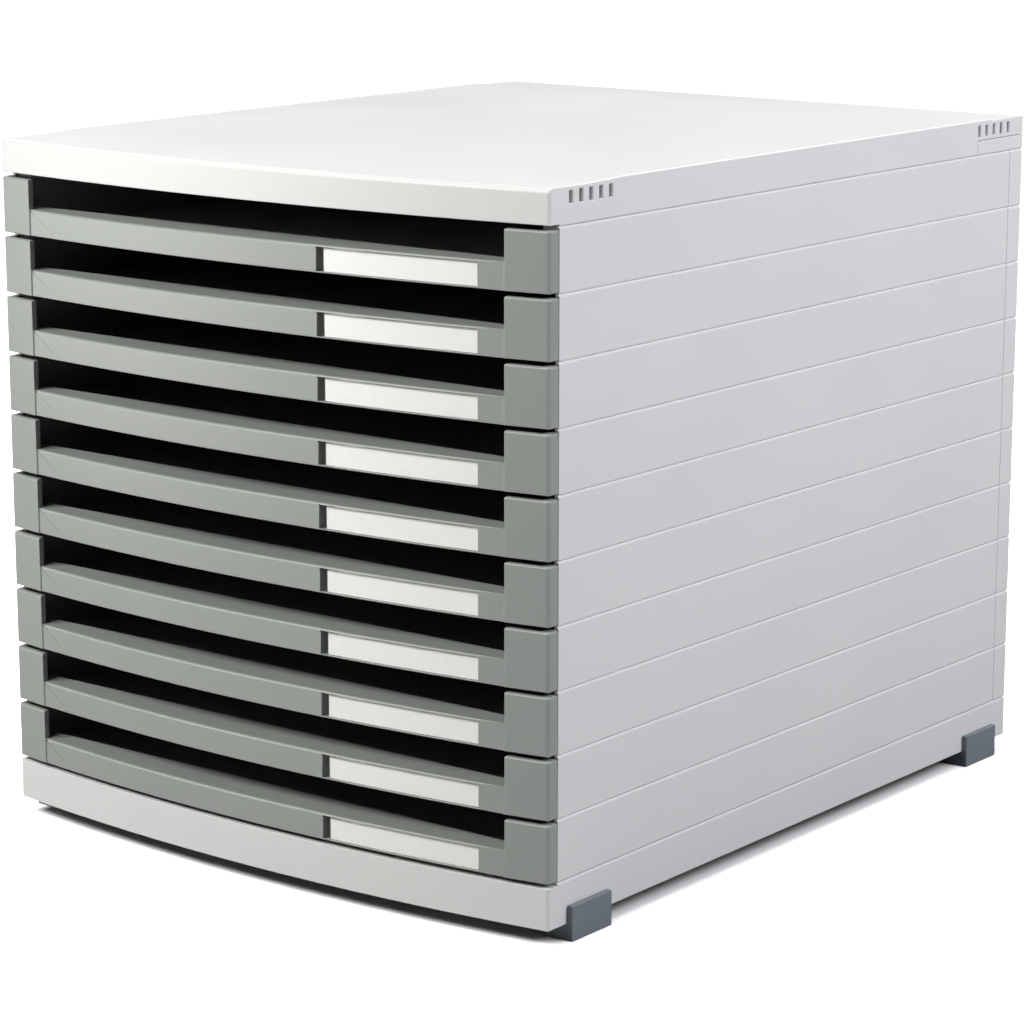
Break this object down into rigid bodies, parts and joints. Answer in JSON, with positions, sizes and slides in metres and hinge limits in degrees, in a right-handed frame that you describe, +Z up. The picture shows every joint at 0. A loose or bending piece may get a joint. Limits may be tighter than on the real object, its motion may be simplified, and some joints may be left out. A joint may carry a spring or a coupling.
{
  "type": "desktop file drawer",
  "caption": "Free-standing desktop box of shallow open-front drawers for paper and folders, with a bowed front, label holders and clip-on feet.",
  "frame": {"origin": "on the table plane, under the middle of the box's overall width and depth, feet undersides at Z 0", "axes": "+X to the right seen from the front, +Y from the bowed fronts towards the back panel, +Z up; drawers pull out along -Y"},
  "size_m": [0.2954, 0.361, 0.2955],
  "materials": {
    "housing_plastic": "fine satin grain, light grey",
    "drawer_plastic": "fine satin grain, mid grey",
    "foot_plastic": "matt slate grey",
    "label_paper": "plain white card",
    "label_window": "clear, glossy"
  },
  "bodies": {
    "housing": {"top_cover": "housing_plastic", "base_plate": "housing_plastic", "left_side_panel": "housing_plastic", "right_side_panel": "housing_plastic", "back_panel": "housing_plastic", "foot_front_left": "foot_plastic", "foot_front_right": "foot_plastic", "foot_rear_left": "foot_plastic", "foot_rear_right": "foot_plastic"},
    "drawer_01_body": {"drawer_01": "drawer_plastic", "label_card_01": "label_paper", "label_window_01": "label_window"},
    "drawer_02_body": {"drawer_02": "drawer_plastic", "label_card_02": "label_paper", "label_window_02": "label_window"},
    "drawer_03_body": {"drawer_03": "drawer_plastic", "label_card_03": "label_paper", "label_window_03": "label_window"},
    "drawer_04_body": {"drawer_04": "drawer_plastic", "label_card_04": "label_paper", "label_window_04": "label_window"},
    "drawer_05_body": {"drawer_05": "drawer_plastic", "label_card_05": "label_paper", "label_window_05": "label_window"},
    "drawer_06_body": {"drawer_06": "drawer_plastic", "label_card_06": "label_paper", "label_window_06": "label_window"},
    "drawer_07_body": {"drawer_07": "drawer_plastic", "label_card_07": "label_paper", "label_window_07": "label_window"},
    "drawer_08_body": {"drawer_08": "drawer_plastic", "label_card_08": "label_paper", "label_window_08": "label_window"},
    "drawer_09_body": {"drawer_09": "drawer_plastic", "label_card_09": "label_paper", "label_window_09": "label_window"},
    "drawer_10_body": {"drawer_10": "drawer_plastic", "label_card_10": "label_paper", "label_window_10": "label_window"}
  },
  "joints": [
    {"name": "drawer_01_slide", "type": "slide", "parent": "housing", "child": "drawer_01_body", "axis": [0, -1, 0], "range_m": [0, 0.27]},
    {"name": "drawer_02_slide", "type": "slide", "parent": "housing", "child": "drawer_02_body", "axis": [0, -1, 0], "range_m": [0, 0.27]},
    {"name": "drawer_03_slide", "type": "slide", "parent": "housing", "child": "drawer_03_body", "axis": [0, -1, 0], "range_m": [0, 0.27]},
    {"name": "drawer_04_slide", "type": "slide", "parent": "housing", "child": "drawer_04_body", "axis": [0, -1, 0], "range_m": [0, 0.27]},
    {"name": "drawer_05_slide", "type": "slide", "parent": "housing", "child": "drawer_05_body", "axis": [0, -1, 0], "range_m": [0, 0.27]},
    {"name": "drawer_06_slide", "type": "slide", "parent": "housing", "child": "drawer_06_body", "axis": [0, -1, 0], "range_m": [0, 0.27]},
    {"name": "drawer_07_slide", "type": "slide", "parent": "housing", "child": "drawer_07_body", "axis": [0, -1, 0], "range_m": [0, 0.27]},
    {"name": "drawer_08_slide", "type": "slide", "parent": "housing", "child": "drawer_08_body", "axis": [0, -1, 0], "range_m": [0, 0.27]},
    {"name": "drawer_09_slide", "type": "slide", "parent": "housing", "child": "drawer_09_body", "axis": [0, -1, 0], "range_m": [0, 0.27]},
    {"name": "drawer_10_slide", "type": "slide", "parent": "housing", "child": "drawer_10_body", "axis": [0, -1, 0], "range_m": [0, 0.27]}
  ]
}
